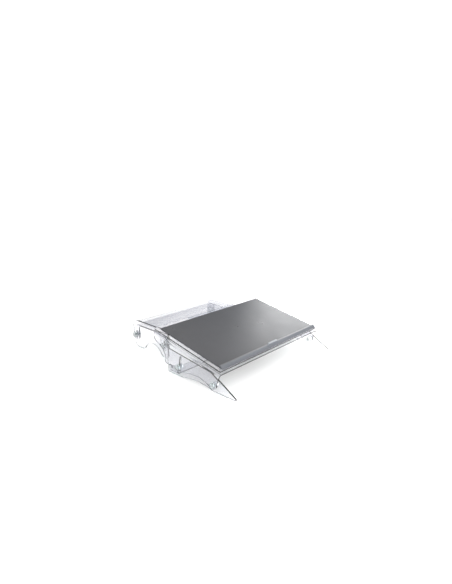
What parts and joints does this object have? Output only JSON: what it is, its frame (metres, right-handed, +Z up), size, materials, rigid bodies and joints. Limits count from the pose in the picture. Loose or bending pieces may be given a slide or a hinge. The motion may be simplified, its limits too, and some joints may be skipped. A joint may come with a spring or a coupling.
{
  "type": "monitor riser stand",
  "caption": "Clear acrylic desk stand: a tilting, sliding writing slope with a satin grey plate, in line with a height-stepped monitor riser.",
  "frame": {"origin": "on the desk, under the middle of the whole stand", "axes": "+Z up; +X to the seated user's right; +Y away from the user, towards the monitor riser"},
  "size_m": [0.5464, 0.5914, 0.1416],
  "materials": {
    "clear_acrylic": "cast clear, polished cut edges with a faint teal tint",
    "satin_grey_plate": "fine satin, dark warm grey",
    "black_lip": "semi-matt black extrusion",
    "grey_tab": "matt light grey",
    "anodised_rail": "satin anodised",
    "white_acetal": "natural acetal",
    "steel": "zinc plated",
    "clear_knob": "moulded clear with a teal tint",
    "black_nylon": "moulded nylon",
    "clear_nylon": "natural nylon",
    "clear_silicone": "translucent soft"
  },
  "bodies": {
    "slope_base": {"slope_panel_left": "clear_acrylic", "slope_panel_right": "clear_acrylic", "slope_cross_sheet": "clear_acrylic", "cross_sheet_screws": "steel", "cross_sheet_nuts": "steel", "slope_grip_pads": "clear_silicone"},
    "slope_top": {"slope_shell": "clear_acrylic", "rail_left": "anodised_rail", "rail_right": "anodised_rail", "rail_screws": "steel", "rail_stops": "black_nylon", "slope_knob_washers": "clear_nylon", "slope_nut_washers": "clear_nylon", "slope_clamp_nuts": "clear_nylon"},
    "platform": {"platform_sheet": "clear_acrylic", "writing_plate": "satin_grey_plate", "front_lip": "black_lip", "pull_tab": "grey_tab", "runner_left": "white_acetal", "runner_right": "white_acetal", "runner_screws": "steel"},
    "riser_base": {"riser_base_sheet": "clear_acrylic", "riser_grip_pads": "clear_silicone"},
    "riser_top": {"riser_top_sheet": "clear_acrylic", "riser_knob_washers": "clear_nylon", "riser_nut_washers": "clear_nylon", "riser_clamp_nuts": "clear_nylon"},
    "slope_knob_front_left_turning": {"slope_knob_front_left": "clear_knob", "slope_stud_front_left": "steel"},
    "slope_knob_front_right_turning": {"slope_knob_front_right": "clear_knob", "slope_stud_front_right": "steel"},
    "slope_knob_rear_left_turning": {"slope_knob_rear_left": "clear_knob", "slope_stud_rear_left": "steel"},
    "slope_knob_rear_right_turning": {"slope_knob_rear_right": "clear_knob", "slope_stud_rear_right": "steel"},
    "riser_knob_front_left_turning": {"riser_knob_front_left": "clear_knob", "riser_stud_front_left": "steel"},
    "riser_knob_front_right_turning": {"riser_knob_front_right": "clear_knob", "riser_stud_front_right": "steel"},
    "riser_knob_rear_left_turning": {"riser_knob_rear_left": "clear_knob", "riser_stud_rear_left": "steel"},
    "riser_knob_rear_right_turning": {"riser_knob_rear_right": "clear_knob", "riser_stud_rear_right": "steel"}
  },
  "joints": [
    {"name": "slope_tilt", "type": "hinge", "parent": "slope_base", "child": "slope_top", "pos_m": [0, -0.20874, 0.026], "axis": [1, 0, 0], "range_deg": [-4, 12]},
    {"name": "platform_slide", "type": "slide", "parent": "slope_top", "child": "platform", "axis": [0, -0.981, -0.1942], "range_m": [0, 0.14]},
    {"name": "riser_place", "type": "slide", "parent": "slope_base", "child": "riser_base", "axis": [0, 1, 0], "range_m": [0, 0.2]},
    {"name": "riser_lift", "type": "slide", "parent": "riser_base", "child": "riser_top", "axis": [0, 0, 1], "range_m": [-0.012, 0.012]},
    {"name": "slope_knob_front_left_turn", "type": "hinge", "parent": "slope_top", "child": "slope_knob_front_left_turning", "pos_m": [-0.263, -0.20874, 0.026], "axis": [-1, 0, 0], "range_deg": [0, 360]},
    {"name": "slope_knob_front_right_turn", "type": "hinge", "parent": "slope_top", "child": "slope_knob_front_right_turning", "pos_m": [0.263, -0.20874, 0.026], "axis": [1, 0, 0], "range_deg": [0, 360]},
    {"name": "slope_knob_rear_left_turn", "type": "hinge", "parent": "slope_top", "child": "slope_knob_rear_left_turning", "pos_m": [-0.263, -0.04884, 0.03707], "axis": [-1, 0, 0], "range_deg": [0, 360]},
    {"name": "slope_knob_rear_right_turn", "type": "hinge", "parent": "slope_top", "child": "slope_knob_rear_right_turning", "pos_m": [0.263, -0.04884, 0.03707], "axis": [1, 0, 0], "range_deg": [0, 360]},
    {"name": "riser_knob_front_left_turn", "type": "hinge", "parent": "riser_top", "child": "riser_knob_front_left_turning", "pos_m": [-0.2, 0.10573, 0.053], "axis": [-1, 0, 0], "range_deg": [0, 360]},
    {"name": "riser_knob_front_right_turn", "type": "hinge", "parent": "riser_top", "child": "riser_knob_front_right_turning", "pos_m": [0.2, 0.10573, 0.053], "axis": [1, 0, 0], "range_deg": [0, 360]},
    {"name": "riser_knob_rear_left_turn", "type": "hinge", "parent": "riser_top", "child": "riser_knob_rear_left_turning", "pos_m": [-0.2, 0.27774, 0.053], "axis": [-1, 0, 0], "range_deg": [0, 360]},
    {"name": "riser_knob_rear_right_turn", "type": "hinge", "parent": "riser_top", "child": "riser_knob_rear_right_turning", "pos_m": [0.2, 0.27774, 0.053], "axis": [1, 0, 0], "range_deg": [0, 360]}
  ]
}
